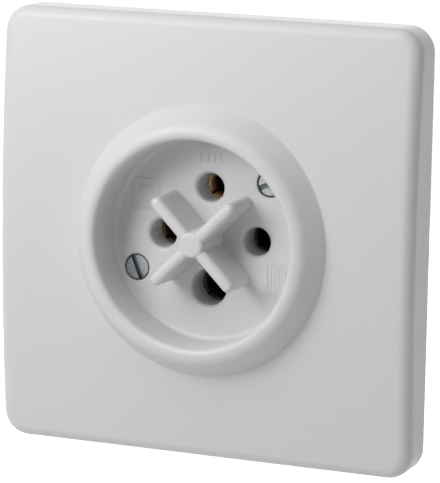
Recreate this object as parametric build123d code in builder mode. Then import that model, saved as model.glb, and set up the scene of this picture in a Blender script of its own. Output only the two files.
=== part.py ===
from build123d import *
from math import cos, radians, sin
import os

os.makedirs("parts", exist_ok=True)

# Three-phase wall socket for flush mounting, in millimetres.
# The wall is the plane y = 0, the front looks towards -Y and +Z is up.
# The origin lies midway between the box screws.

# Cover plate
plate_width = 85.0
plate_height = 85.0
plate_edge = 7.6
plate_crown = 2.25
plate_corner = 5.0
plate_round = 2.3
plate_wall = 2.2
rib_thickness = 1.4
rib_stand = 2.2

# Collar and recess of the cover
collar_height = 14.6
collar_crest_radius = 22.5
collar_flare = 3.0
collar_outer_round = 2.4
collar_lip_round = 1.1
crest_width = 2.6
recess_fillet = 0.8
floor_stand = 4.9
floor_thickness = 3.0
cup_wall = 2.3

# Cross that parts the pins; the ribs behind the plate lie on the same diagonals
cross_angle = 45.0
cross_height = 9.2
arm_reach = 11.6
arm_thickness = 2.5
arm_round = 1.0
arm_draft = 0.5
hub_radius = 2.9
hub_draft = 3.0
hub_rise = 0.2
hub_round = 0.6

# Pin holes and the guide tubes behind them
pin_offset = 9.65
phase_hole_radius = 2.8
earth_hole_radius = 3.6
hole_chamfer = 0.45
guide_reach = 2.9
guide_clearance = 0.2

# Contacts, turned brass sleeves
phase_bore_radius = 2.45
earth_bore_radius = 3.15
sleeve_wall = 1.25
body_wall = 2.25
body_clearance = 0.1
contact_shoulder = 14.0
pin_bore_length = 16.0
mouth_chamfer = 0.35
slit_width = 0.6
slit_length = 12.0
contact_web = 1.3
wire_bore_radius = 1.7

# Spring rings round the slit ends of the contacts
ring_inset = 3.5
ring_width = 2.4
ring_thickness = 0.5
ring_groove = 0.2
ring_arc = 330.0

# Terminal screws
terminal_depth = 22.0
terminal_screw_radius = 1.5
terminal_head_radius = 2.5
terminal_head_height = 2.2
terminal_stand = 0.6
terminal_slot_angle = 20.0

# Cover screws and the threaded inserts that take them
cover_screw_inset = 3.3
cover_screw_radius = 1.5
cover_screw_length = 9.0
cover_head_radius = 2.42
cover_head_height = 1.5
cover_head_sink = 0.15
insert_radius = 2.4
insert_length = 8.0
insert_band = 2.7
insert_groove = 0.3

# Insulating base
boss_wall = 1.0
base_ledge = 6.0
base_chamfer = 0.8
pocket_width = 12.0
pocket_depth = 5.5
pocket_height = 10.0

# Mounting frame, a pressed steel plate
frame_size = 71.0
frame_corner = 4.0
frame_thickness = 1.0
boss_clearance = 0.3
box_screw_spacing = 60.0
slot_width = 4.2
slot_length = 9.0
frame_screw_inset = 2.8
frame_screw_radius = 1.2
frame_head_radius = 2.1
frame_screw_length = 6.0
countersink_angle = 90.0

# Rear cover
rear_cover_thickness = 2.2
rear_cover_chamfer = 0.5
wire_entry_radius = 2.3
rear_screw_inset = 8.0
rear_screw_radius = 1.4
rear_screw_length = 10.0
rear_head_radius = 2.6
rear_head_height = 1.7

# Values that the screws share, and how far a cut runs past the surface it opens
screw_slot_width = 0.8
screw_slot_share = 0.5
screw_chamfer = 0.2
head_clearance = 0.2
shank_clearance = 0.15
thread_clearance = 0.03
cut_past = 1.0

# Values worked out from the driving dimensions
arch_radius = (plate_height**2 / 4 + plate_crown**2) / (2 * plate_crown)
arch_axis = arch_radius - plate_edge - plate_crown
collar_foot_radius = collar_crest_radius + collar_flare
collar_slope = (collar_foot_radius - collar_crest_radius) / (collar_height - plate_edge - plate_crown)
collar_skirt_radius = collar_crest_radius + collar_slope * (collar_height - plate_edge)
recess_radius = collar_crest_radius - crest_width
cup_radius = recess_radius + cup_wall
cup_back = floor_thickness - floor_stand
guide_end = cup_back + guide_reach
contact_front = guide_end + guide_clearance
base_depth = terminal_depth + pocket_height / 2
cover_screw_circle = recess_radius - cover_screw_inset
boss_radius = cover_screw_circle + insert_radius + boss_wall
base_radius = boss_radius + base_ledge
frame_screw_circle = base_radius - frame_screw_inset
rear_screw_circle = base_radius - rear_screw_inset

# Each pole: the direction that it lies in, its pin hole and the bore of its contact
poles = {
    "l1": (90.0, phase_hole_radius, phase_bore_radius),
    "l2": (180.0, phase_hole_radius, phase_bore_radius),
    "l3": (0.0, phase_hole_radius, phase_bore_radius),
    "earth": (270.0, earth_hole_radius, earth_bore_radius),
}

# Each cover screw: the direction that it lies in and the angle that its slot has come to
cover_screws = {"lower_left": (205.0, 113.0), "upper_right": (43.0, -25.0)}

# The frame screw and the rear screw on each side share a direction and a slot angle
side_screws = {"upper_left": (135.0, 68.0), "lower_right": (315.0, 158.0)}


def polar(radius, angle):
    """Point on a circle round the socket's axis, as x and z."""
    return radius * cos(radians(angle)), radius * sin(radians(angle))


def depth_plane(y):
    """Plane parallel to the wall at the depth y, facing the room."""
    return Plane.XZ.offset(-y)


def facing_plane(point, y, direction):
    """Plane at a point of the front view, facing the room for -1 or the box for 1."""
    return Plane(origin=(point[0], y, point[1]), x_dir=(1, 0, 0), z_dir=(0, direction, 0))


def profile_plane(point, y):
    """Plane through a turned part's axis: its x is the radius, its y runs into the wall."""
    return Plane(origin=(point[0], y, point[1]), x_dir=(1, 0, 0), z_dir=(0, 0, 1))


def radial_plane(angle, reach, depth):
    """Plane square to a pole's direction, facing outwards."""
    x, z = polar(reach, angle)
    outward_x, outward_z = polar(1, angle)
    return Plane(origin=(x, depth, z), x_dir=(0, 1, 0), z_dir=(outward_x, 0, outward_z))


def body_radius(bore_radius):
    """Radius of a contact's solid rear end."""
    return bore_radius + body_wall


def chamber_radius(bore_radius):
    """Radius of the base's bore that holds a contact."""
    return body_radius(bore_radius) + body_clearance


def plate_body(inset):
    """Block with the plate's outline and arched front, drawn in by an even wall."""
    with BuildPart() as body:
        with BuildSketch(Plane.XZ):
            RectangleRounded(plate_width - 2 * inset, plate_height - 2 * inset, plate_corner - inset)
        extrude(amount=collar_height)
        with BuildSketch(Plane.YZ):
            with Locations((arch_axis, 0)):
                Circle(arch_radius - inset)
        extrude(amount=plate_width, both=True, mode=Mode.INTERSECT)
    return body.part


def turned_screw(under_head, head_radius, head_height, radius, length, slot_angle):
    """Slotted screw with a cheese head; the plane lies under the head and faces its top."""
    side = Plane(origin=under_head.origin, x_dir=under_head.x_dir, z_dir=-under_head.y_dir)
    with BuildPart() as screw:
        with BuildSketch(side):
            with BuildLine():
                Polyline(
                    (0, -length),
                    (radius - screw_chamfer, -length),
                    (radius, screw_chamfer - length),
                    (radius, 0),
                    (head_radius, 0),
                    (head_radius, head_height - screw_chamfer),
                    (head_radius - screw_chamfer, head_height),
                    (0, head_height),
                    close=True,
                )
            make_face()
        revolve(axis=Axis(under_head.origin, under_head.z_dir))
        with BuildSketch(under_head.offset(head_height)):
            Rectangle(2 * (head_radius + cut_past), screw_slot_width, rotation=slot_angle)
        extrude(amount=-screw_slot_share * head_height, mode=Mode.SUBTRACT)
    return screw.part


# Cross of the cover: two rounded ribs that meet in a hub
with BuildPart() as arm:
    with BuildSketch(depth_plane(-floor_stand)):
        SlotOverall(2 * arm_reach, arm_thickness)
    extrude(amount=cross_height, taper=arm_draft)
    fillet(arm.faces().sort_by(Axis.Y)[0].edges(), arm_round)

with BuildPart() as hub:
    with BuildSketch(depth_plane(-floor_stand)):
        Circle(hub_radius)
    extrude(amount=cross_height + hub_rise, taper=hub_draft)
    fillet(hub.faces().sort_by(Axis.Y)[0].edges(), hub_round)

# Room behind the cover: everything inside its walls but the cup and the ribs
with BuildPart() as hollow:
    add(plate_body(plate_wall))
    with BuildSketch(Plane.XZ):
        Circle(cup_radius)
    extrude(amount=collar_height, mode=Mode.SUBTRACT)
    with BuildSketch(depth_plane(-rib_stand)):
        with Locations(Rotation(0, 0, cross_angle), Rotation(0, 0, -cross_angle)):
            Rectangle(plate_width + plate_height, rib_thickness)
    extrude(amount=collar_height, mode=Mode.SUBTRACT)
    with BuildSketch(depth_plane(cup_back)):
        Circle(cup_radius)
    extrude(amount=cup_back)

# Cover: plate, collar, recess and cross in one moulding
with BuildPart() as cover:
    add(plate_body(0))
    fillet(cover.faces().sort_by(Axis.Y)[0].edges(), plate_round)
    with BuildSketch(Plane.XY) as collar_side:
        with BuildLine():
            Polyline(
                (0, 0),
                (0, -collar_height),
                (collar_crest_radius, -collar_height),
                (collar_skirt_radius, -plate_edge),
                (collar_skirt_radius, 0),
                close=True,
            )
        make_face()
        crest = (collar_crest_radius, -collar_height, 0)
        fillet(collar_side.vertices().sort_by_distance(crest)[0], collar_outer_round)
    revolve(axis=Axis.Y)
    add(hollow.part, mode=Mode.SUBTRACT)
    with BuildSketch(depth_plane(-floor_stand)):
        Circle(recess_radius)
    extrude(amount=collar_height, mode=Mode.SUBTRACT)
    for ring_y, ring_round in ((-collar_height, collar_lip_round), (-floor_stand, recess_fillet)):
        rings = cover.edges().filter_by(GeomType.CIRCLE)
        fillet(rings.sort_by_distance((recess_radius, ring_y, 0))[0], ring_round)
    add(arm.part, rotation=(0, cross_angle, 0))
    add(arm.part, rotation=(0, -cross_angle, 0))
    add(hub.part)
    for angle, _, bore_radius in poles.values():
        with BuildSketch(depth_plane(cup_back)):
            with Locations(polar(pin_offset, angle)):
                Circle(chamber_radius(bore_radius) - guide_clearance)
        extrude(amount=-guide_reach)
    for angle, hole_radius, _ in poles.values():
        with BuildSketch(depth_plane(guide_end)):
            with Locations(polar(pin_offset, angle)):
                Circle(hole_radius)
        extrude(amount=guide_end + floor_stand, mode=Mode.SUBTRACT)
        x, z = polar(pin_offset, angle)
        rings = cover.edges().filter_by(GeomType.CIRCLE)
        chamfer(rings.sort_by_distance((x, -floor_stand, z))[0], hole_chamfer)
    for angle, _ in cover_screws.values():
        with Locations(facing_plane(polar(cover_screw_circle, angle), -floor_stand, -1)):
            CounterBoreHole(
                radius=cover_screw_radius + shank_clearance,
                counter_bore_radius=cover_head_radius + head_clearance,
                counter_bore_depth=cover_head_height + cover_head_sink,
                depth=floor_thickness,
            )
cover.part.label = "cover"
export_step(cover.part, "parts/cover.step")

# Insulating base that holds the contacts
with BuildPart() as base:
    with BuildSketch(Plane.XZ):
        Circle(base_radius)
    extrude(amount=-base_depth)
    chamfer(base.edges().filter_by(GeomType.CIRCLE), base_chamfer)
    with BuildSketch(Plane.XZ):
        Circle(boss_radius)
    extrude(amount=-cup_back)
    for angle, _, bore_radius in poles.values():
        with BuildSketch(depth_plane(cup_back)):
            with Locations(polar(pin_offset, angle)):
                Circle(chamber_radius(bore_radius))
        extrude(amount=cup_back - base_depth, mode=Mode.SUBTRACT)
        with BuildSketch(radial_plane(angle, base_radius, terminal_depth)):
            Rectangle(pocket_height, pocket_width)
        extrude(amount=-pocket_depth, mode=Mode.SUBTRACT)
        with BuildSketch(radial_plane(angle, pin_offset, terminal_depth)):
            Circle(terminal_head_radius + head_clearance)
        extrude(amount=base_radius, mode=Mode.SUBTRACT)
    for angle, _ in cover_screws.values():
        with BuildSketch(depth_plane(cup_back)):
            with Locations(polar(cover_screw_circle, angle)):
                Circle(insert_radius + thread_clearance)
        extrude(amount=-insert_length, mode=Mode.SUBTRACT)
    for angle, _ in side_screws.values():
        with BuildSketch(Plane.XZ):
            with Locations(polar(frame_screw_circle, angle)):
                Circle(frame_screw_radius + thread_clearance)
        extrude(amount=-frame_screw_length, mode=Mode.SUBTRACT)
        with BuildSketch(depth_plane(base_depth)):
            with Locations(polar(rear_screw_circle, angle)):
                Circle(rear_screw_radius + thread_clearance)
        extrude(amount=rear_screw_length, mode=Mode.SUBTRACT)
base.part.label = "base"
export_step(base.part, "parts/base.step")

# Mounting frame that the box screws hold
with BuildPart() as mounting_frame:
    with BuildSketch(Plane.XZ):
        RectangleRounded(frame_size, frame_size, frame_corner)
        Circle(boss_radius + boss_clearance, mode=Mode.SUBTRACT)
        with Locations((-box_screw_spacing / 2, 0), (box_screw_spacing / 2, 0)):
            SlotOverall(slot_length, slot_width, mode=Mode.SUBTRACT)
        with Locations((0, -box_screw_spacing / 2), (0, box_screw_spacing / 2)):
            SlotOverall(slot_length, slot_width, rotation=90, mode=Mode.SUBTRACT)
    extrude(amount=frame_thickness)
    for angle, _ in side_screws.values():
        with Locations(facing_plane(polar(frame_screw_circle, angle), -frame_thickness, -1)):
            CounterSinkHole(
                radius=frame_screw_radius + shank_clearance,
                counter_sink_radius=frame_head_radius + shank_clearance,
                depth=frame_thickness,
                counter_sink_angle=countersink_angle,
            )
mounting_frame.part.label = "mounting_frame"
export_step(mounting_frame.part, "parts/mounting_frame.step")

# Countersunk screws that hold the frame to the base
for name, (angle, slot_angle) in side_screws.items():
    centre = polar(frame_screw_circle, angle)
    cone_height = frame_head_radius - frame_screw_radius
    with BuildPart() as frame_screw:
        with BuildSketch(profile_plane(centre, -frame_thickness)):
            with BuildLine():
                Polyline(
                    (0, 0),
                    (frame_head_radius, 0),
                    (frame_screw_radius, cone_height),
                    (frame_screw_radius, frame_screw_length - screw_chamfer),
                    (frame_screw_radius - screw_chamfer, frame_screw_length),
                    (0, frame_screw_length),
                    close=True,
                )
            make_face()
        revolve(axis=Axis((centre[0], 0, centre[1]), (0, 1, 0)))
        with BuildSketch(facing_plane(centre, -frame_thickness, -1)):
            Rectangle(2 * (frame_head_radius + cut_past), screw_slot_width, rotation=slot_angle)
        extrude(amount=-screw_slot_share * cone_height, mode=Mode.SUBTRACT)
    frame_screw.part.label = f"frame_screw_{name}"
    export_step(frame_screw.part, f"parts/frame_screw_{name}.step")

# The contact, spring ring and terminal screw of each pole
for name, (angle, _, bore_radius) in poles.items():
    centre = polar(pin_offset, angle)
    pole_axis = Axis((centre[0], 0, centre[1]), (0, 1, 0))
    sleeve_radius = bore_radius + sleeve_wall
    rear_radius = body_radius(bore_radius)
    groove_radius = sleeve_radius - ring_groove
    groove_front = contact_front + ring_inset
    groove_end = groove_front + ring_width + 2 * thread_clearance
    shoulder = contact_front + contact_shoulder
    pin_end = contact_front + pin_bore_length
    wire_end = pin_end + contact_web
    with BuildPart() as contact:
        with BuildSketch(profile_plane(centre, 0)):
            with BuildLine():
                Polyline(
                    (bore_radius + mouth_chamfer, contact_front),
                    (sleeve_radius, contact_front),
                    (sleeve_radius, groove_front),
                    (groove_radius, groove_front),
                    (groove_radius, groove_end),
                    (sleeve_radius, groove_end),
                    (sleeve_radius, shoulder),
                    (rear_radius, shoulder),
                    (rear_radius, base_depth),
                    (wire_bore_radius, base_depth),
                    (wire_bore_radius, wire_end),
                    (0, wire_end),
                    (0, pin_end),
                    (bore_radius, pin_end),
                    (bore_radius, contact_front + mouth_chamfer),
                    close=True,
                )
            make_face()
        revolve(axis=pole_axis)
        with BuildSketch(depth_plane(contact_front)):
            with Locations(centre):
                Rectangle(2 * (sleeve_radius + cut_past), slit_width, rotation=cross_angle)
                Rectangle(2 * (sleeve_radius + cut_past), slit_width, rotation=-cross_angle)
        extrude(amount=-slit_length, mode=Mode.SUBTRACT)
        with BuildSketch(radial_plane(angle, pin_offset, terminal_depth)):
            Circle(terminal_screw_radius + thread_clearance)
        extrude(amount=rear_radius + cut_past, mode=Mode.SUBTRACT)
    contact.part.label = f"contact_{name}"
    export_step(contact.part, f"parts/contact_{name}.step")

    with BuildPart() as spring_ring:
        with BuildSketch(profile_plane(centre, groove_front + thread_clearance)):
            with Locations((groove_radius + thread_clearance, 0)):
                Rectangle(ring_thickness, ring_width, align=(Align.MIN, Align.MIN))
        revolve(axis=pole_axis, revolution_arc=ring_arc)
    spring_ring.part.label = f"spring_ring_{name}"
    export_step(spring_ring.part, f"parts/spring_ring_{name}.step")

    terminal_screw = turned_screw(
        radial_plane(angle, pin_offset + rear_radius + terminal_stand, terminal_depth),
        terminal_head_radius,
        terminal_head_height,
        terminal_screw_radius,
        rear_radius + terminal_stand - wire_bore_radius,
        terminal_slot_angle,
    )
    terminal_screw.label = f"terminal_screw_{name}"
    export_step(terminal_screw, f"parts/terminal_screw_{name}.step")

# Cover screws and the inserts in the base that take them
for name, (angle, slot_angle) in cover_screws.items():
    centre = polar(cover_screw_circle, angle)
    cover_screw = turned_screw(
        facing_plane(centre, cover_head_height + cover_head_sink - floor_stand, -1),
        cover_head_radius,
        cover_head_height,
        cover_screw_radius,
        cover_screw_length,
        slot_angle,
    )
    cover_screw.label = f"cover_screw_{name}"
    export_step(cover_screw, f"parts/cover_screw_{name}.step")

    with BuildPart() as insert:
        with BuildSketch(profile_plane(centre, cup_back)):
            with BuildLine():
                Polyline(
                    (cover_screw_radius + thread_clearance, 0),
                    (insert_radius, 0),
                    (insert_radius, insert_band),
                    (insert_radius - insert_groove, insert_band + insert_groove),
                    (insert_radius - insert_groove, insert_length - insert_band - insert_groove),
                    (insert_radius, insert_length - insert_band),
                    (insert_radius, insert_length),
                    (cover_screw_radius + thread_clearance, insert_length),
                    close=True,
                )
            make_face()
        revolve(axis=Axis((centre[0], 0, centre[1]), (0, 1, 0)))
    insert.part.label = f"insert_{name}"
    export_step(insert.part, f"parts/insert_{name}.step")

# Rear cover that keeps the contacts in the base
with BuildPart() as rear_cover:
    with BuildSketch(depth_plane(base_depth)):
        Circle(base_radius - rear_cover_chamfer)
        with PolarLocations(pin_offset, len(poles)):
            Circle(wire_entry_radius, mode=Mode.SUBTRACT)
        with Locations(*(polar(rear_screw_circle, angle) for angle, _ in side_screws.values())):
            Circle(rear_screw_radius + shank_clearance, mode=Mode.SUBTRACT)
    extrude(amount=-rear_cover_thickness)
    rims = rear_cover.edges().filter_by(GeomType.CIRCLE).group_by(SortBy.RADIUS)[-1]
    chamfer(rims, rear_cover_chamfer)
rear_cover.part.label = "rear_cover"
export_step(rear_cover.part, "parts/rear_cover.step")

# Screws that hold the rear cover to the base
for name, (angle, slot_angle) in side_screws.items():
    rear_screw = turned_screw(
        facing_plane(polar(rear_screw_circle, angle), base_depth + rear_cover_thickness, 1),
        rear_head_radius,
        rear_head_height,
        rear_screw_radius,
        rear_screw_length,
        slot_angle,
    )
    rear_screw.label = f"rear_screw_{name}"
    export_step(rear_screw, f"parts/rear_screw_{name}.step")
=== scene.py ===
import math

import bmesh
import bpy
from mathutils import Matrix, Vector


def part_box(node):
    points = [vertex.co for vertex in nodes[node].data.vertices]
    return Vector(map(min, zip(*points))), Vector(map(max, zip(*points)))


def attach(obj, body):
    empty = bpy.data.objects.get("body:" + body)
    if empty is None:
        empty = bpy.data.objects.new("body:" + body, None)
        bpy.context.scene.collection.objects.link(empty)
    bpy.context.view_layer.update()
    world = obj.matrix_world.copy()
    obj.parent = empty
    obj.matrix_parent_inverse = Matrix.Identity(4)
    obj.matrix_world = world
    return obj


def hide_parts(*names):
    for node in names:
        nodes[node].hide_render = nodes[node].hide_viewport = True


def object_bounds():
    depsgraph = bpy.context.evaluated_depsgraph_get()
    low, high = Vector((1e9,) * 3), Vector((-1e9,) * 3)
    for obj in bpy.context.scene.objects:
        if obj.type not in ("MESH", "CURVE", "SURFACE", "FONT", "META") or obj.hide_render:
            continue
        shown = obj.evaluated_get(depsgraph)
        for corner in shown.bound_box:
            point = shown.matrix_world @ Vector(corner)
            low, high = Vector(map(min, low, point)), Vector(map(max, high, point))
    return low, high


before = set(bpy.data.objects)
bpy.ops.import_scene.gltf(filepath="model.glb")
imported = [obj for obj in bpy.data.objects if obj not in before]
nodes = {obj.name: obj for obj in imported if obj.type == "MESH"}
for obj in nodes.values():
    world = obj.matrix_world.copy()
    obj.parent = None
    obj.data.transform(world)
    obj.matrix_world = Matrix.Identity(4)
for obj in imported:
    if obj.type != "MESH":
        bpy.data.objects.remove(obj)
cad_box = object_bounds()
mm = 0.001


# Base: the insulating body that holds the contacts, pressed from dark thermoset in a hot steel mould.
# The surface is dull and slightly speckled by the filler in the moulding powder.
speck_limits = (0.56, 0.72)
edge_samples = 4


def new_group(name, inputs, outputs):
    """Empty shader node group; inputs are (kind, name, value) and outputs (kind, name)."""
    group = bpy.data.node_groups.new(name, "ShaderNodeTree")
    for kind, label, value in inputs:
        socket = group.interface.new_socket(label, in_out="INPUT", socket_type="NodeSocket" + kind)
        socket.default_value = value
    for kind, label in outputs:
        group.interface.new_socket(label, in_out="OUTPUT", socket_type="NodeSocket" + kind)
    return group, group.nodes.new("NodeGroupInput"), group.nodes.new("NodeGroupOutput")


def feed(tree, value, socket):
    """Gives a socket a constant, or links another node's socket to it."""
    if hasattr(value, "is_output"):
        tree.links.new(value, socket)
    else:
        socket.default_value = value


def put(tree, kind, **inputs):
    """Adds a node and feeds its inputs by name."""
    node = tree.nodes.new(kind)
    for label, value in inputs.items():
        feed(tree, value, node.inputs[label])
    return node


def maths(tree, operation, *values):
    """Result of a Math node on constants and other nodes' sockets."""
    node = tree.nodes.new("ShaderNodeMath")
    node.operation = operation
    for value, socket in zip(values, node.inputs):
        feed(tree, value, socket)
    return node.outputs["Value"]


def span(tree, value, limits, full=1.0):
    """0 to full as a value goes from the first limit to the second."""
    ramp = put(tree, "ShaderNodeMapRange", **{"From Min": limits[0], "From Max": limits[1], "To Max": full})
    tree.links.new(value, ramp.inputs["Value"])
    return ramp.outputs["Result"]


def mixed(tree, share, first, second):
    """Colour that goes from the first to the second as the share goes from 0 to 1."""
    mix = tree.nodes.new("ShaderNodeMix")
    mix.data_type = "RGBA"
    feed(tree, share, mix.inputs["Factor"])
    feed(tree, first, mix.inputs["A"])
    feed(tree, second, mix.inputs["B"])
    return mix.outputs["Result"]


def noise(tree, vector, scale, detail, roughness=0.5):
    """Noise texture at a place, from 0 to 1."""
    texture = put(tree, "ShaderNodeTexNoise", Vector=vector, Scale=scale, Detail=detail, Roughness=roughness)
    return texture.outputs["Fac"]


def moulded_surface_group():
    """Skin of a moulded plastic: specks in the colour, clouds in the gloss and a fine grain in the height."""
    group, given, result = new_group(
        "moulded surface",
        [
            ("Vector", "Vector", (0, 0, 0)),
            ("Color", "Colour", (0.8, 0.8, 0.8, 1)),
            ("Color", "Speck colour", (0.8, 0.8, 0.8, 1)),
            ("Float", "Speck share", 0.5),
            ("Float", "Roughness", 0.4),
            ("Float", "Roughness spread", 0.05),
            ("Float", "Cloud scale", 60.0),
            ("Float", "Grain scale", 2500.0),
        ],
        [("Color", "Colour"), ("Float", "Roughness"), ("Float", "Height")],
    )
    clouds = noise(group, given.outputs["Vector"], given.outputs["Cloud scale"], detail=3.0)
    grain = noise(group, given.outputs["Vector"], given.outputs["Grain scale"], detail=2.0)
    specks = span(group, grain, speck_limits, given.outputs["Speck share"])
    colour = mixed(group, specks, given.outputs["Colour"], given.outputs["Speck colour"])
    either_way = maths(group, "SUBTRACT", clouds, 0.5)
    spread = given.outputs["Roughness spread"]
    roughness = maths(group, "MULTIPLY_ADD", either_way, spread, given.outputs["Roughness"])
    group.links.new(colour, result.inputs["Colour"])
    group.links.new(roughness, result.inputs["Roughness"])
    group.links.new(grain, result.inputs["Height"])
    return group


def new_material(name):
    """Material with a Principled BSDF, given back with its tree and its shader."""
    material = bpy.data.materials.new(name)
    material.use_nodes = True
    return material, material.node_tree, material.node_tree.nodes["Principled BSDF"]


def place_group(tree, group, vector, values):
    """Puts a shader node group in a material at a place and sets its other inputs by name."""
    node = tree.nodes.new("ShaderNodeGroup")
    node.node_tree = group
    tree.links.new(vector, node.inputs["Vector"])
    for label, value in values.items():
        node.inputs[label].default_value = (*value, 1) if isinstance(value, tuple) else value
    return node


def finish_surface(tree, shader, surface, edge_round, grain_depth):
    """Joins a surface group to the shader: colour, roughness, and the grain on softened edges."""
    tree.links.new(surface.outputs["Colour"], shader.inputs["Base Color"])
    tree.links.new(surface.outputs["Roughness"], shader.inputs["Roughness"])
    soft_edge = put(tree, "ShaderNodeBevel", Radius=edge_round)
    soft_edge.samples = edge_samples
    height, normal = surface.outputs["Height"], soft_edge.outputs["Normal"]
    bump = put(tree, "ShaderNodeBump", Distance=grain_depth, Strength=1.0, Height=height, Normal=normal)
    tree.links.new(bump.outputs["Normal"], shader.inputs["Normal"])


def object_coordinates(tree):
    """Object coordinates, which are the row frame's because every piece sits at the origin."""
    return tree.nodes.new("ShaderNodeTexCoord").outputs["Object"]


moulded_surface = moulded_surface_group()


def moulded_plastic(
    name, colour, speck, speck_share, roughness, spread, edge_round, grain_depth, clouds, grain
):
    """Moulded plastic or thermoset in one colour with specks of another."""
    material, tree, shader = new_material(name)
    values = {
        "Colour": colour,
        "Speck colour": speck,
        "Speck share": speck_share,
        "Roughness": roughness,
        "Roughness spread": spread,
        "Cloud scale": clouds,
        "Grain scale": grain,
    }
    surface = place_group(tree, moulded_surface, object_coordinates(tree), values)
    finish_surface(tree, shader, surface, edge_round, grain_depth)
    return material


def dress(node, material):
    """Gives a CAD node its material."""
    mesh = nodes[node].data
    mesh.materials.clear()
    mesh.materials.append(material)


dress("base", moulded_plastic(
    "dark thermoset",
    colour=(0.048, 0.046, 0.044),
    speck=(0.085, 0.08, 0.074),
    speck_share=0.5,
    roughness=0.52,
    spread=0.2,
    edge_round=0.2 * mm,
    grain_depth=0.006 * mm,
    clouds=90.0,
    grain=1800.0,
))


# Contacts: four sleeves turned from brass bar, slit at the front so that they grip the plug's pins.
# The cutting tool leaves fine rings. The bores are oxidised, red-brown behind the mouth; deeper in, painted
# shade turns them nearly black, and painted shade blackens the mouths of all but the top one too.
brass_colour = (0.62, 0.5, 0.22)
brass_dull_colour = (0.36, 0.27, 0.12)
dull_limits = (0.4, 0.7)
oxide_colour = (0.7, 0.28, 0.17)
oxide_start = 0.1 * mm
oxide_full = 0.5 * mm
oxide_reach = 0.5 * mm
# Painted shade: a near-black laid deeper in each bore and over some mouths, where shade falls in the holes.
bore_shade_colour = (0.012, 0.009, 0.008)
bore_shade_start = 1.3 * mm
bore_shade_full = 3.1 * mm
shade_patch_depth = 3.0 * mm
shade_patch_scale = 700.0
contact_bore = {"l1": 2.45 * mm, "l2": 2.45 * mm, "l3": 2.45 * mm, "earth": 3.15 * mm}
# Share of painted shade over each pole's mouth; the top hole keeps its brass.
mouth_shade = {"l1": 0.0, "l2": 0.85, "l3": 0.97, "earth": 0.95}
mouth_shade_reach = 6.0 * mm
pole_names = tuple(contact_bore)


def axes(tree, vector):
    """The three parts of a vector."""
    apart = put(tree, "ShaderNodeSeparateXYZ", Vector=vector)
    return tuple(apart.outputs[axis] for axis in "XYZ")


def off_axis(tree, x, y):
    """Distance from the Z axis."""
    squares = maths(tree, "ADD", maths(tree, "MULTIPLY", x, x), maths(tree, "MULTIPLY", y, y))
    return maths(tree, "SQRT", squares)


def turned_metal_group():
    """Skin of a turned metal piece: rings round its axis, dull clouds, and as much stain and painted shade as
    it is given.
    """
    group, given, result = new_group(
        "turned metal",
        [
            ("Vector", "Vector", (0, 0, 0)),
            ("Color", "Colour", (0.7, 0.7, 0.7, 1)),
            ("Color", "Dull colour", (0.4, 0.4, 0.4, 1)),
            ("Float", "Dull share", 0.5),
            ("Color", "Stain and shade colour", (0.1, 0.1, 0.1, 1)),
            ("Float", "Stain and shade share", 0.0),
            ("Float", "Roughness", 0.3),
            ("Float", "Roughness spread", 0.2),
            ("Float", "Ring scale", 3000.0),
            ("Float", "Cloud scale", 400.0),
        ],
        [("Color", "Colour"), ("Float", "Roughness"), ("Float", "Height")],
    )
    x, y, z = axes(group, given.outputs["Vector"])
    ring_place = put(group, "ShaderNodeCombineXYZ", X=maths(group, "ADD", off_axis(group, x, y), z))
    place, around = given.outputs["Vector"], ring_place.outputs["Vector"]
    rings = noise(group, around, given.outputs["Ring scale"], detail=3.0, roughness=0.6)
    clouds = noise(group, place, given.outputs["Cloud scale"], detail=4.0, roughness=0.6)
    dull = span(group, clouds, dull_limits, given.outputs["Dull share"])
    clean = mixed(group, dull, given.outputs["Colour"], given.outputs["Dull colour"])
    # Stain and painted shade, as much as the piece is given, lie over the clean metal.
    stained_and_shaded = mixed(group, given.outputs["Stain and shade share"], clean, given.outputs["Stain and shade colour"])
    spread = given.outputs["Roughness spread"]
    roughness = maths(group, "MULTIPLY_ADD", dull, spread, given.outputs["Roughness"])
    group.links.new(stained_and_shaded, result.inputs["Colour"])
    group.links.new(roughness, result.inputs["Roughness"])
    group.links.new(rings, result.inputs["Height"])
    return group


turned_metal = turned_metal_group()


def middle_of(node):
    """Middle of a CAD node's box, which lies on the axis of a turned one."""
    low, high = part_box(node)
    return (low + high) / 2


def turned_material(name, centre, colour, dull, dull_share, roughness, rings, edge_round, ring_depth):
    """Turned metal whose rings run round an axis along Y through the given centre."""
    material, tree, shader = new_material(name)
    shader.inputs["Metallic"].default_value = 1.0
    on_axis = tree.nodes.new("ShaderNodeMapping")
    on_axis.vector_type = "TEXTURE"
    on_axis.inputs["Location"].default_value = centre
    on_axis.inputs["Rotation"].default_value = (math.pi / 2, 0, 0)
    tree.links.new(object_coordinates(tree), on_axis.inputs["Vector"])
    values = {
        "Colour": colour,
        "Dull colour": dull,
        "Dull share": dull_share,
        "Roughness": roughness,
        "Ring scale": rings,
    }
    surface = place_group(tree, turned_metal, on_axis.outputs["Vector"], values)
    finish_surface(tree, shader, surface, edge_round, ring_depth)
    return material


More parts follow.
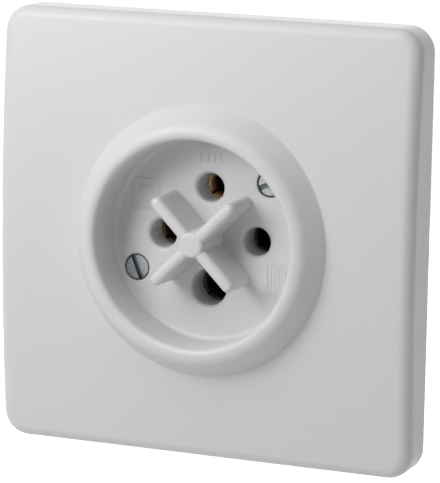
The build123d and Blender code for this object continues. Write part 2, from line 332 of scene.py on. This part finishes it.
def oxidise_and_shade_bore(material, mouth, bore, mouth_shade_share):
    """Turns a sleeve's bore red-brown with oxide, then black and matt with painted shade; the share given is
    painted shade over its mouth.
    """
    tree = material.node_tree
    surface = next(node for node in tree.nodes if node.type == "GROUP")
    on_axis = surface.inputs["Vector"].links[0].from_socket
    x, y, z = axes(tree, on_axis)
    inside = span(tree, off_axis(tree, x, y), (bore + oxide_reach, bore))
    behind = span(tree, z, (mouth - oxide_start, mouth - oxide_full))
    shaded_mouth = span(tree, z, (mouth - mouth_shade_reach, mouth - mouth_shade_reach / 2), mouth_shade_share)
    share = maths(tree, "MAXIMUM", maths(tree, "MULTIPLY", inside, behind), shaded_mouth)
    # Painted shade: the bore turns near-black further in, with a patchy edge, and so does a shaded mouth.
    patches = noise(tree, on_axis, shade_patch_scale, detail=3.0, roughness=0.6)
    patches = maths(tree, "SUBTRACT", patches, 0.5)
    patchy_z = maths(tree, "MULTIPLY_ADD", patches, shade_patch_depth, z)
    deep_shade = span(tree, patchy_z, (mouth - bore_shade_start, mouth - bore_shade_full))
    shaded = maths(tree, "MAXIMUM", deep_shade, shaded_mouth)
    # Colour of the real oxide, giving way to the painted shade's near-black.
    darkening = mixed(tree, shaded, (*oxide_colour, 1), (*bore_shade_colour, 1))
    tree.links.new(share, surface.inputs["Stain and shade share"])
    tree.links.new(darkening, surface.inputs["Stain and shade colour"])
    tree.links.new(maths(tree, "SUBTRACT", 1.0, share), tree.nodes["Principled BSDF"].inputs["Metallic"])


for pole in pole_names:
    contact = "contact_" + pole
    low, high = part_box(contact)
    turned_brass = turned_material(
        "turned brass " + pole,
        middle_of(contact),
        colour=brass_colour,
        dull=brass_dull_colour,
        dull_share=0.6,
        roughness=0.26,
        rings=3200.0,
        edge_round=0.08 * mm,
        ring_depth=0.004 * mm,
    )
    oxidise_and_shade_bore(turned_brass, (high.y - low.y) / 2, contact_bore[pole], mouth_shade[pole])
    dress(contact, turned_brass)


# Spring rings: open bands of flat spring steel, hardened and blued, that press the slit sleeves together.
# Their surface is smooth with a dark temper colour.
for pole in pole_names:
    dress("spring_ring_" + pole, turned_material(
        "blued spring steel " + pole,
        middle_of("contact_" + pole),
        colour=(0.17, 0.18, 0.2),
        dull=(0.09, 0.08, 0.085),
        dull_share=0.7,
        roughness=0.3,
        rings=2400.0,
        edge_round=0.05 * mm,
        ring_depth=0.002 * mm,
    ))


# Screws: cold-headed steel with a sawn slot and a rolled thread, zinc-plated to a dull grey.
# Each blank is turned up from its profile. Geometry Nodes then roll the thread and saw the slot.
screw_sides = 48
screw_chamfer = 0.2 * mm
rows_per_pitch = 8
thread_depth_share = 0.55
thread_run_out = 1.5
on_shank_tolerance = 0.001 * mm
slot_width = 0.95 * mm
slot_share = 0.5
saw_past_head = 3.0
smooth_limit = math.radians(32)
# Painted shade: the slot's walls and floor and the head's rim are darkened where shade falls in the slot and
# gap.
slot_shade_share = 0.8
rim_shade_share = 0.6
rim_tolerance = 0.01 * mm
slot_shade_side = (0.4, 0.8)
slot_shade_top = (0.05, 0.8)
slot_shade_edge = (1.06, 1.02)


def new_object(name, data):
    """Object of a mesh, a lamp or a camera, put in the scene."""
    thing = bpy.data.objects.new(name, data)
    bpy.context.scene.collection.objects.link(thing)
    return thing


def screw_blank(name, profile):
    """Closed mesh of revolution round Z from (radius, height) points that start and end on the axis."""
    mesh = bpy.data.meshes.new(name)
    work = bmesh.new()
    rows = []
    for radius, height in profile:
        if radius == 0:
            rows.append([work.verts.new((0, 0, height))])
            continue
        turns = [2 * math.pi * i / screw_sides for i in range(screw_sides)]
        rows.append([work.verts.new((radius * math.cos(a), radius * math.sin(a), height)) for a in turns])
    for lower, upper in zip(rows, rows[1:]):
        for i in range(screw_sides):
            j = (i + 1) % screw_sides
            if len(lower) == 1:
                work.faces.new((lower[0], upper[j], upper[i]))
            elif len(upper) == 1:
                work.faces.new((lower[i], lower[j], upper[0]))
            else:
                work.faces.new((lower[i], lower[j], upper[j], upper[i]))
    work.to_mesh(mesh)
    work.free()
    return new_object(name, mesh)


def shank_rows(radius, length, pitch):
    """Profile points up a shank, close enough together to carry its thread."""
    steps = max(2, round((length - screw_chamfer) / pitch * rows_per_pitch))
    low = screw_chamfer - length
    return [(radius, low * (1 - i / steps)) for i in range(steps + 1)]


def cheese_head_profile(head_radius, head_height, radius, length, pitch):
    """Profile of a screw with a cylindrical head whose underside lies at height 0."""
    tip = [(0, -length), (radius - screw_chamfer, -length)]
    head = [
        (head_radius, 0),
        (head_radius, head_height - screw_chamfer),
        (head_radius - screw_chamfer, head_height),
        (0, head_height),
    ]
    return tip + shank_rows(radius, length, pitch) + head


def screw_tree():
    """Geometry Nodes that roll a thread on a blank's shank and saw the slot across its head."""
    tree = bpy.data.node_groups.new("roll thread and saw slot", "GeometryNodeTree")
    face = tree.interface
    face.new_socket("Blank", in_out="INPUT", socket_type="NodeSocketGeometry")
    for label in ("Shank radius", "Thread pitch", "Thread depth", "Thread start", "Thread end"):
        face.new_socket(label, in_out="INPUT", socket_type="NodeSocketFloat")
    for label in ("Head top", "Head radius", "Slot width", "Slot depth", "Slot angle"):
        face.new_socket(label, in_out="INPUT", socket_type="NodeSocketFloat")
    face.new_socket("Finish", in_out="INPUT", socket_type="NodeSocketMaterial")
    face.new_socket("Screw", in_out="OUTPUT", socket_type="NodeSocketGeometry")
    given = tree.nodes.new("NodeGroupInput").outputs
    result = tree.nodes.new("NodeGroupOutput")

    x, y, z = axes(tree, tree.nodes.new("GeometryNodeInputPosition").outputs["Position"])
    radius = off_axis(tree, x, y)
    pitch = given["Thread pitch"]
    turn = maths(tree, "DIVIDE", maths(tree, "ARCTAN2", y, x), 2 * math.pi)
    phase = maths(tree, "FRACT", maths(tree, "SUBTRACT", maths(tree, "DIVIDE", z, pitch), turn))
    groove = maths(tree, "ABSOLUTE", maths(tree, "SUBTRACT", maths(tree, "MULTIPLY", phase, 2.0), 1.0))
    off_shank = maths(tree, "ABSOLUTE", maths(tree, "SUBTRACT", radius, given["Shank radius"]))
    on_shank = maths(tree, "LESS_THAN", off_shank, on_shank_tolerance)
    run_in = maths(tree, "DIVIDE", maths(tree, "SUBTRACT", z, given["Thread start"]), pitch)
    run_out = maths(tree, "DIVIDE", maths(tree, "SUBTRACT", given["Thread end"], z), pitch)
    fade = maths(tree, "MINIMUM", maths(tree, "MAXIMUM", run_in, 0.0), maths(tree, "MAXIMUM", run_out, 0.0))
    share = maths(tree, "MULTIPLY", maths(tree, "MINIMUM", fade, 1.0), on_shank)
    inwards = maths(tree, "MULTIPLY", given["Thread depth"], -1.0)
    sink = maths(tree, "MULTIPLY", maths(tree, "MULTIPLY", groove, share), inwards)
    outward = put(
        tree,
        "ShaderNodeCombineXYZ",
        X=maths(tree, "DIVIDE", x, radius),
        Y=maths(tree, "DIVIDE", y, radius),
    )
    offset = put(tree, "ShaderNodeVectorMath", Vector=outward.outputs["Vector"])
    offset.operation = "SCALE"
    tree.links.new(sink, offset.inputs["Scale"])
    rolled = put(tree, "GeometryNodeSetPosition", Geometry=given["Blank"], Offset=offset.outputs["Vector"])

    saw_size = put(
        tree,
        "ShaderNodeCombineXYZ",
        X=maths(tree, "MULTIPLY", given["Head radius"], saw_past_head),
        Y=given["Slot width"],
        Z=maths(tree, "MULTIPLY", given["Slot depth"], 2.0),
    )
    saw = put(tree, "GeometryNodeMeshCube", Size=saw_size.outputs["Vector"])
    moved_saw = put(
        tree,
        "GeometryNodeTransform",
        Geometry=saw.outputs["Mesh"],
        Translation=put(tree, "ShaderNodeCombineXYZ", Z=given["Head top"]).outputs["Vector"],
        Rotation=put(tree, "ShaderNodeCombineXYZ", Z=given["Slot angle"]).outputs["Vector"],
    )
    cut = tree.nodes.new("GeometryNodeMeshBoolean")
    cut.operation = "DIFFERENCE"
    cut.solver = "EXACT"
    tree.links.new(rolled.outputs["Geometry"], cut.inputs["Mesh 1"])
    tree.links.new(moved_saw.outputs["Geometry"], cut.inputs["Mesh 2"])
    whole = put(tree, "GeometryNodeRealizeInstances", Geometry=cut.outputs["Mesh"])
    dressed = put(tree, "GeometryNodeSetMaterial", Geometry=whole.outputs["Geometry"])
    tree.links.new(given["Finish"], dressed.inputs["Material"])
    tree.links.new(dressed.outputs["Geometry"], result.inputs["Screw"])
    return tree


def attribute(tree, name):
    """Vector that a mesh carries at each of its points."""
    carried = tree.nodes.new("ShaderNodeAttribute")
    carried.attribute_name = name
    return carried.outputs["Vector"]


def zinc_plated_material():
    """Zinc plate with rings round the screw's axis and painted shade in its slot and on its head's rim,
    placed by attributes of the mesh.
    """
    material, tree, shader = new_material("zinc-plated screw steel")
    shader.inputs["Metallic"].default_value = 1.0
    values = {
        "Colour": (0.4, 0.42, 0.43),
        "Dull colour": (0.23, 0.245, 0.25),
        "Dull share": 1.0,
        "Stain and shade colour": (0.02, 0.022, 0.024),
        "Roughness": 0.36,
        "Roughness spread": 0.2,
        "Ring scale": 2600.0,
        "Cloud scale": 1300.0,
    }
    surface = place_group(tree, turned_metal, attribute(tree, "screw_place"), values)
    # Painted shade in the slot, darkest along its sides and deeper down, and on the head's rim.
    across, depth = axes(tree, attribute(tree, "slot_place"))[:2]
    in_slot_shade, on_rim = axes(tree, attribute(tree, "shade_share"))[:2]
    either_side = maths(tree, "ABSOLUTE", across)
    for value, limits in (
        (either_side, slot_shade_side),
        (either_side, slot_shade_edge),
        (depth, slot_shade_top),
        (depth, slot_shade_edge),
    ):
        in_slot_shade = maths(tree, "MULTIPLY", span(tree, value, limits), in_slot_shade)
    tree.links.new(maths(tree, "MAXIMUM", in_slot_shade, on_rim), surface.inputs["Stain and shade share"])
    finish_surface(tree, shader, surface, edge_round=0.06 * mm, grain_depth=0.01 * mm)
    return material


roll_and_saw = screw_tree()
zinc_plated = zinc_plated_material()


def shape_by(tree, piece, values):
    """Runs a Geometry Nodes tree on a piece with the given inputs and keeps the outcome as its mesh."""
    step = piece.modifiers.new(tree.name, "NODES")
    step.node_group = tree
    ids = {socket.name: socket.identifier for socket in tree.interface.items_tree if socket.in_out == "INPUT"}
    for label, value in values.items():
        step[ids[label]] = value
    mesh = bpy.data.meshes.new_from_object(piece.evaluated_get(bpy.context.evaluated_depsgraph_get()))
    piece.modifiers.clear()
    piece.data = mesh
    return mesh


def give_points(mesh, name, vectors):
    """Gives each point of a mesh a vector, as an attribute that nodes can read."""
    carried = mesh.attributes.new(name, "FLOAT_VECTOR", "POINT")
    carried.data.foreach_set("vector", [part for vector in vectors for part in vector])


def make_screw(name, profile, sizes, seat, slot_shade=slot_shade_share):
    """Makes a screw from its blank, sets it in its seat and lets it stand for the CAD node of its name."""
    screw = screw_blank(name + "_piece", profile)
    mesh = shape_by(roll_and_saw, screw, {**sizes, "Finish": zinc_plated})
    across_slot = Vector((-math.sin(sizes["Slot angle"]), math.cos(sizes["Slot angle"]), 0))
    # Shares of painted shade: in the slot, and on the head's outer rim that faces the counterbore's gap.
    slot_place, darkening = [], []
    for vertex in mesh.vertices:
        across = vertex.co.dot(across_slot) / (sizes["Slot width"] / 2)
        depth = (sizes["Head top"] - vertex.co.z) / sizes["Slot depth"]
        outermost = abs(vertex.co.xy.length - sizes["Head radius"]) < rim_tolerance
        on_rim = outermost and 0 <= vertex.co.z < sizes["Head top"]
        slot_place.append((across, depth, 0))
        darkening.append((slot_shade, rim_shade_share if on_rim else 0, 0))
    give_points(mesh, "screw_place", [vertex.co for vertex in mesh.vertices])
    give_points(mesh, "slot_place", slot_place)
    give_points(mesh, "shade_share", darkening)
    mesh.transform(seat)
    mesh.shade_smooth()
    mesh.set_sharp_from_angle(angle=smooth_limit)
    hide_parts(name)
    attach(screw, "root")


def seat_facing(point, outward):
    """Place of a screw whose head looks along outward, with its underside at the point."""
    z_axis = Vector(outward).normalized()
    x_axis = Vector((0, 0, 1)).cross(z_axis)
    if x_axis.length < 0.1:
        x_axis = Vector((1, 0, 0))
    x_axis.normalize()
    turn = Matrix((x_axis, z_axis.cross(x_axis), z_axis)).transposed().to_4x4()
    return Matrix.Translation(Vector(point)) @ turn


def cheese_head_screw(
    name, outward, radius, pitch, head_radius, head_height, slot_angle, slot_shade=slot_shade_share
):
    """Screw with a cylindrical head, as long as its CAD node along outward."""
    low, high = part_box(name)
    direction = Vector(outward)
    reach = abs((high - low).dot(direction))
    length = reach - head_height
    sizes = {
        "Shank radius": radius,
        "Thread pitch": pitch,
        "Thread depth": thread_depth_share * pitch,
        "Thread start": screw_chamfer - length,
        "Thread end": -thread_run_out * pitch,
        "Head top": head_height,
        "Head radius": head_radius,
        "Slot width": slot_width,
        "Slot depth": slot_share * head_height,
        "Slot angle": math.radians(slot_angle),
    }
    profile = cheese_head_profile(head_radius, head_height, radius, length, pitch)
    seat = seat_facing(middle_of(name) + direction * (reach / 2 - head_height), direction)
    make_screw(name, profile, sizes, seat, slot_shade)


terminal_outward = {"l1": (0, 0, 1), "l2": (-1, 0, 0), "l3": (1, 0, 0), "earth": (0, 0, -1)}
for pole in pole_names:
    cheese_head_screw(
        "terminal_screw_" + pole,
        terminal_outward[pole],
        radius=1.5 * mm,
        pitch=0.5 * mm,
        head_radius=2.5 * mm,
        head_height=2.2 * mm,
        slot_angle=20,
    )

side_slot_angles = {"upper_left": 68, "lower_right": 158}
for side, slot_angle in side_slot_angles.items():
    cheese_head_screw(
        "rear_screw_" + side,
        (0, 1, 0),
        radius=1.4 * mm,
        pitch=0.6 * mm,
        head_radius=2.6 * mm,
        head_height=1.7 * mm,
        slot_angle=slot_angle,
    )


# Rear cover: a flat disc of dark grey plastic that keeps the contacts in the base.
# It is moulded in one piece with its four wire entries and is held by two screws.
dress("rear_cover", moulded_plastic(
    "dark grey moulding",
    colour=(0.1, 0.098, 0.095),
    speck=(0.14, 0.135, 0.13),
    speck_share=0.4,
    roughness=0.45,
    spread=0.15,
    edge_round=0.2 * mm,
    grain_depth=0.005 * mm,
    clouds=90.0,
    grain=1500.0,
))


# Mounting frame: a square plate pressed from sheet steel and zinc-plated in the barrel.
# Screws through its four slots would hold the whole socket to the box in the wall.
# The plate shows soft grey clouds and faint straight rolling marks.
rolling_scale = 900.0
rolling_stretch = 0.03
rolling_depth = 0.004 * mm


def pressed_sheet_material():
    """Zinc-plated sheet with clouds and rolling marks that run up and down."""
    material, tree, shader = new_material("zinc-plated sheet")
    shader.inputs["Metallic"].default_value = 1.0
    values = {
        "Colour": (0.62, 0.63, 0.635),
        "Speck colour": (0.44, 0.45, 0.455),
        "Speck share": 0.8,
        "Roughness": 0.34,
        "Roughness spread": 0.4,
        "Cloud scale": 140.0,
        "Grain scale": 420.0,
    }
    surface = place_group(tree, moulded_surface, object_coordinates(tree), values)
    finish_surface(tree, shader, surface, edge_round=0.12 * mm, grain_depth=0.004 * mm)
    stretched = tree.nodes.new("ShaderNodeMapping")
    stretched.inputs["Scale"].default_value = (1, 1, rolling_stretch)
    tree.links.new(object_coordinates(tree), stretched.inputs["Vector"])
    marks = noise(tree, stretched.outputs["Vector"], rolling_scale, detail=4.0, roughness=0.6)
    grained = shader.inputs["Normal"].links[0].from_socket
    rolled = put(tree, "ShaderNodeBump", Distance=rolling_depth, Height=marks, Normal=grained)
    tree.links.new(rolled.outputs["Normal"], shader.inputs["Normal"])
    return material


dress("mounting_frame", pressed_sheet_material())


# Frame screws: two small countersunk screws of zinc-plated steel that hold the frame to the base.
# They go in from the front, and their heads lie flush in the pressed cones of the frame.
frame_screw_radius = 1.2 * mm
frame_head_radius = 2.1 * mm
frame_screw_pitch = 0.45 * mm

for side, slot_angle in side_slot_angles.items():
    name = "frame_screw_" + side
    low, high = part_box(name)
    length = high.y - low.y
    cone = frame_head_radius - frame_screw_radius
    tip = [(0, -length), (frame_screw_radius - screw_chamfer, -length)]
    shank = [(r, h - cone) for r, h in shank_rows(frame_screw_radius, length - cone, frame_screw_pitch)]
    make_screw(
        name,
        tip + shank + [(frame_head_radius, 0), (0, 0)],
        {
            "Shank radius": frame_screw_radius,
            "Thread pitch": frame_screw_pitch,
            "Thread depth": thread_depth_share * frame_screw_pitch,
            "Thread start": screw_chamfer - length,
            "Thread end": -cone - frame_screw_pitch,
            "Head top": 0.0,
            "Head radius": frame_head_radius,
            "Slot width": slot_width,
            "Slot depth": slot_share * cone,
            "Slot angle": math.radians(slot_angle),
        },
        seat_facing(((low.x + high.x) / 2, low.y, (low.z + high.z) / 2), (0, -1, 0)),
    )


# Inserts: two bushes turned from brass with a waist, moulded into the base to take the cover screws.
# Only their front faces could ever be seen, once the cover is off.
for side in ("lower_left", "upper_right"):
    insert = "insert_" + side
    dress(insert, turned_material(
        "insert brass " + side,
        middle_of(insert),
        colour=brass_colour,
        dull=brass_dull_colour,
        dull_share=0.4,
        roughness=0.3,
        rings=2800.0,
        edge_round=0.06 * mm,
        ring_depth=0.003 * mm,
    ))


# Cover: plate, collar, recess and cross, moulded in one piece from white plastic with a satin gloss.
# The mould is polished, so there are only faint clouds in the gloss and a very fine grain.
def satin_white(name, edge_round):
    """The cover's plastic, with its edges softened by the given radius."""
    return moulded_plastic(
        name,
        colour=(0.68, 0.68, 0.69),
        speck=(0.66, 0.66, 0.67),
        speck_share=0.35,
        roughness=0.42,
        spread=0.06,
        edge_round=edge_round,
        grain_depth=0.0012 * mm,
        clouds=45.0,
        grain=2200.0,
    )


dress("cover", satin_white("satin white moulding", edge_round=0.65 * mm))


# Cover marks: faint raised figures on the recess floor, moulded with the cover and 0.15 mm high.
# They are plain: a square frame with one bar, a row of upright bars above the top hole and a field of studs.
recess_floor = -4.9 * mm
mark_height = 0.15 * mm
mark_root = 0.05 * mm
mark_draft = 0.3
half_diagonal = math.sqrt(0.5)
frame_middle = (-13.3 * mm, 7.4 * mm)
frame_width = 5.4 * mm
frame_height = 6.0 * mm
frame_line = 0.4 * mm
frame_bar_rise = 1.5 * mm
frame_bar_size = (3.6 * mm, 0.4 * mm)
upright_middle = (0.05 * mm, 15.35 * mm)
upright_step = 1.4 * mm
upright_count = 4
upright_size = (0.5 * mm, 1.9 * mm)
stud_middle = (13.8 * mm, -7.2 * mm)
stud_steps = (0.74 * mm, 0.6 * mm)
stud_counts = (6, 11)
stud_size = (0.46 * mm, 0.34 * mm)


def mark_tree():
    """Geometry Nodes that set a bar with sloping sides on each point, in the size of its bar_size."""
    tree = bpy.data.node_groups.new("raise marks", "GeometryNodeTree")
    face = tree.interface
    face.new_socket("Places", in_out="INPUT", socket_type="NodeSocketGeometry")
    for label in ("Height", "Draft"):
        face.new_socket(label, in_out="INPUT", socket_type="NodeSocketFloat")
    face.new_socket("Finish", in_out="INPUT", socket_type="NodeSocketMaterial")
    face.new_socket("Marks", in_out="OUTPUT", socket_type="NodeSocketGeometry")
    given = tree.nodes.new("NodeGroupInput").outputs
    result = tree.nodes.new("NodeGroupOutput")
    cone = {
        "Vertices": 4,
        "Radius Bottom": half_diagonal,
        "Radius Top": maths(tree, "MULTIPLY_ADD", given["Draft"], -half_diagonal, half_diagonal),
        "Depth": given["Height"],
    }
    bar = put(tree, "GeometryNodeMeshCone", **cone).outputs["Mesh"]
    square = put(tree, "GeometryNodeTransform", Geometry=bar, Rotation=(0, 0, math.pi / 4))
    size = put(tree, "GeometryNodeInputNamedAttribute", Name="bar_size")
    size.data_type = "FLOAT_VECTOR"
    spread = put(tree, "GeometryNodeInstanceOnPoints", Points=given["Places"])
    tree.links.new(square.outputs["Geometry"], spread.inputs["Instance"])
    tree.links.new(size.outputs["Attribute"], spread.inputs["Scale"])
    whole = put(tree, "GeometryNodeRealizeInstances", Geometry=spread.outputs["Instances"])
    dressed = put(tree, "GeometryNodeSetMaterial", Geometry=whole.outputs["Geometry"])
    tree.links.new(given["Finish"], dressed.inputs["Material"])
    tree.links.new(dressed.outputs["Geometry"], result.inputs["Marks"])
    return tree


def bar_grid(middle, steps, counts, size):
    """Bars in rows and columns round a middle, each as (x, z, width, height) on the recess floor."""
    columns = [middle[0] + steps[0] * (i - (counts[0] - 1) / 2) for i in range(counts[0])]
    rows = [middle[1] + steps[1] * (i - (counts[1] - 1) / 2) for i in range(counts[1])]
    return [(x, z, *size) for x in columns for z in rows]


frame_steps = (frame_width, frame_height)
frame_bar_middle = (frame_middle[0], frame_middle[1] + frame_bar_rise)
bars = bar_grid(frame_middle, frame_steps, (2, 1), (frame_line, frame_height + frame_line))
bars += bar_grid(frame_middle, frame_steps, (1, 2), (frame_width - frame_line, frame_line))
bars += bar_grid(frame_bar_middle, (0, 0), (1, 1), frame_bar_size)
bars += bar_grid(upright_middle, (upright_step, 0), (upright_count, 1), upright_size)
bars += bar_grid(stud_middle, stud_steps, stud_counts, stud_size)
mark_places = bpy.data.meshes.new("cover_marks")
mark_places.from_pydata([(x, z, -mark_root) for x, z, width, height in bars], [], [])
give_points(mark_places, "bar_size", [(width, height, 1) for x, z, width, height in bars])
cover_marks = new_object("cover_marks", mark_places)
mark_mesh = shape_by(mark_tree(), cover_marks, {
    "Height": mark_height + mark_root,
    "Draft": mark_draft,
    "Finish": satin_white("satin white marks", edge_round=0.06 * mm),
})
mark_mesh.transform(Matrix.Translation((0, recess_floor, 0)) @ Matrix.Rotation(math.pi / 2, 4, "X"))
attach(cover_marks, "root")


# Cover screws: two slotted screws of zinc-plated steel that hold the cover to the inserts.
# They go through the recess floor. Their heads lie almost flush, each in a counterbore with a dark gap round
# it, deepened by painted shade on the head's rim; the upper right slot has less painted shade.
cover_slot_angles = {"lower_left": 113, "upper_right": 25}
# The upper right slot gets less painted shade.
cover_slot_shade = {"lower_left": slot_shade_share, "upper_right": 0.3}

for side, slot_angle in cover_slot_angles.items():
    cheese_head_screw(
        "cover_screw_" + side,
        (0, -1, 0),
        radius=1.5 * mm,
        pitch=0.5 * mm,
        head_radius=2.42 * mm,
        head_height=1.5 * mm,
        slot_angle=slot_angle,
        slot_shade=cover_slot_shade[side],
    )


# Stage: a plain pale floor well below the socket, which would hang on a wall.
# Camera rays see it and the world as white; the shadow of the socket stays on it.
# Four soft lamps light the socket: one near at the upper left, one overhead, and weak ones right and behind.
floor_drop = 120 * mm
floor_size = 6000 * mm
floor_colour = (0.85, 0.85, 0.85, 1)
floor_glow = 0.88
ambient = 0.11
white = (1, 1, 1, 1)


def seen_directly(tree):
    """1 for rays from the camera, from gloss and through glass, 0 for the light that falls on things."""
    path = tree.nodes.new("ShaderNodeLightPath").outputs
    seen_or_mirrored = maths(tree, "MAXIMUM", path["Is Camera Ray"], path["Is Glossy Ray"])
    return maths(tree, "MAXIMUM", seen_or_mirrored, path["Is Transmission Ray"])


floor_mesh = bpy.data.meshes.new("floor")
half = floor_size / 2
floor_level = cad_box[0].z - floor_drop
corners = [(x, y, floor_level) for x, y in ((-half, -half), (half, -half), (half, half), (-half, half))]
floor_mesh.from_pydata(corners, [], [(0, 1, 2, 3)])
floor = new_object("floor", floor_mesh)
floor_material, tree, shader = new_material("pale floor")
shader.inputs["Base Color"].default_value = floor_colour
shader.inputs["Roughness"].default_value = 0.8
shader.inputs["Emission Color"].default_value = white
tree.links.new(maths(tree, "MULTIPLY", seen_directly(tree), floor_glow), shader.inputs["Emission Strength"])
floor_mesh.materials.append(floor_material)

world = bpy.data.worlds.new("studio")
world.use_nodes = True
bpy.context.scene.world = world
tree = world.node_tree
background = tree.nodes["Background"]
background.inputs["Color"].default_value = white
strength = maths(tree, "MULTIPLY_ADD", seen_directly(tree), 1.0 - ambient, ambient)
tree.links.new(strength, background.inputs["Strength"])


def softbox(name, azimuth, elevation, distance, size, watts):
    """Square area lamp that looks at the socket; azimuth 0 is straight in front and 90 to the right."""
    turn, rise = math.radians(azimuth), math.radians(elevation)
    away = Vector((math.sin(turn) * math.cos(rise), -math.cos(turn) * math.cos(rise), math.sin(rise)))
    data = bpy.data.lights.new(name, "AREA")
    data.shape = "SQUARE"
    data.size = size
    data.energy = watts
    lamp = new_object(name, data)
    lamp.location = away * distance
    lamp.rotation_mode = "QUATERNION"
    lamp.rotation_quaternion = away.to_track_quat("Z", "Y")


softbox("key", azimuth=-30, elevation=25, distance=350 * mm, size=160 * mm, watts=0.64)
softbox("overhead", azimuth=-28, elevation=62, distance=900 * mm, size=900 * mm, watts=3.8)
softbox("side fill", azimuth=85, elevation=5, distance=900 * mm, size=450 * mm, watts=0.75)
softbox("rear fill", azimuth=190, elevation=6, distance=900 * mm, size=900 * mm, watts=2.8)


# Camera: where the photograph was taken from, to the right of the socket and a little above it.
# Its place, its turn and its lens were fitted to the plate's outline and the pin holes.
camera_azimuth = math.radians(22.647)
camera_elevation = math.radians(10.536)
camera_roll = math.radians(0.965)
camera_distance = 587.9 * mm
camera_lens = 228.3
aim_right = 0.124 * mm
aim_up = -1.504 * mm

back = Vector((
    math.sin(camera_azimuth) * math.cos(camera_elevation),
    -math.cos(camera_azimuth) * math.cos(camera_elevation),
    math.sin(camera_elevation),
))
level_right = Vector((math.cos(camera_azimuth), math.sin(camera_azimuth), 0))
level_up = back.cross(level_right)
right = math.cos(camera_roll) * level_right + math.sin(camera_roll) * level_up
up = math.cos(camera_roll) * level_up - math.sin(camera_roll) * level_right
camera_data = bpy.data.cameras.new("camera")
camera_data.lens = camera_lens
camera_data.clip_start = 10 * mm
camera_data.clip_end = 20000 * mm
camera = new_object("camera", camera_data)
camera_place = Matrix.Translation(aim_right * right + aim_up * up + camera_distance * back)
camera.matrix_world = camera_place @ Matrix((right, up, back)).transposed().to_4x4()
bpy.context.scene.camera = camera
bpy.context.scene.view_settings.view_transform = "Standard"
